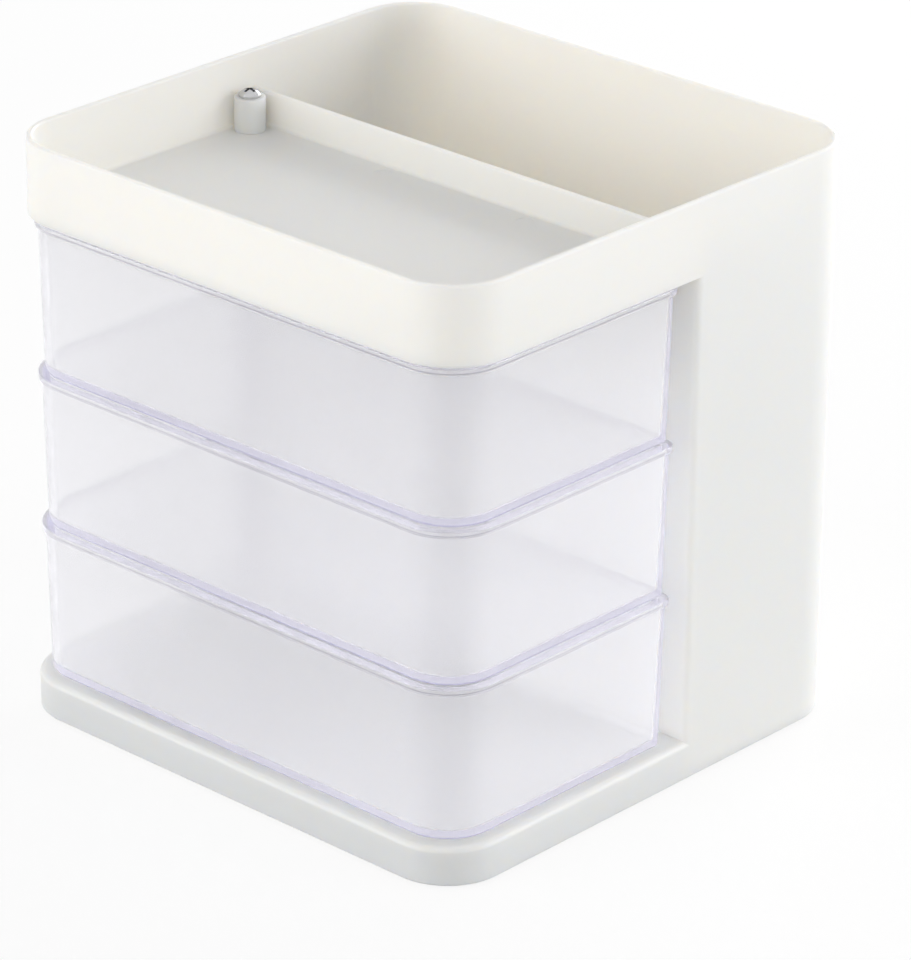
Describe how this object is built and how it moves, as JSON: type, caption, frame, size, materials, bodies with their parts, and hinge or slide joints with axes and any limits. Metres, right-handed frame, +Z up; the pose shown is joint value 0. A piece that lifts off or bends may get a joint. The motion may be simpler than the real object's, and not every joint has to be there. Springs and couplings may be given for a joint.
{
  "type": "organizer with swing-out drawers",
  "caption": "Desktop make-up and jewellery organizer: deep rear compartment, shallow top tray and stacked clear drawers that swing out sideways about one corner rod.",
  "frame": {"origin": "centre of the footprint, on the surface the organizer stands on", "axes": "+Z up, the drawers' fronts face -Y, +X is to the right as seen from the front"},
  "size_m": [0.15, 0.145, 0.153],
  "materials": {
    "body_plastic": "smooth moulded plastic with a soft sheen, warm white",
    "clear_plastic": "clear moulded plastic with a faint lavender tint, polished",
    "steel": "plated steel",
    "pad_rubber": "matt, light grey"
  },
  "bodies": {
    "stand": {"body": "body_plastic", "pivot_rod": "steel", "screw_top": "steel", "screw_bottom": "steel", "pad_front_left": "pad_rubber", "pad_front_right": "pad_rubber", "pad_rear_left": "pad_rubber", "pad_rear_right": "pad_rubber"},
    "bottom_drawer": {"drawer_bottom": "clear_plastic"},
    "middle_drawer": {"drawer_middle": "clear_plastic"},
    "top_drawer": {"drawer_top": "clear_plastic"}
  },
  "joints": [
    {"name": "bottom_drawer_swing", "type": "hinge", "parent": "stand", "child": "bottom_drawer", "pos_m": [-0.0688, 0.0067, 0.031], "axis": [0, 0, -1], "range_deg": [0, 90]},
    {"name": "middle_drawer_swing", "type": "hinge", "parent": "stand", "child": "middle_drawer", "pos_m": [-0.0688, 0.0067, 0.0714], "axis": [0, 0, -1], "range_deg": [0, 90]},
    {"name": "top_drawer_swing", "type": "hinge", "parent": "stand", "child": "top_drawer", "pos_m": [-0.0688, 0.0067, 0.1118], "axis": [0, 0, -1], "range_deg": [0, 90]}
  ]
}
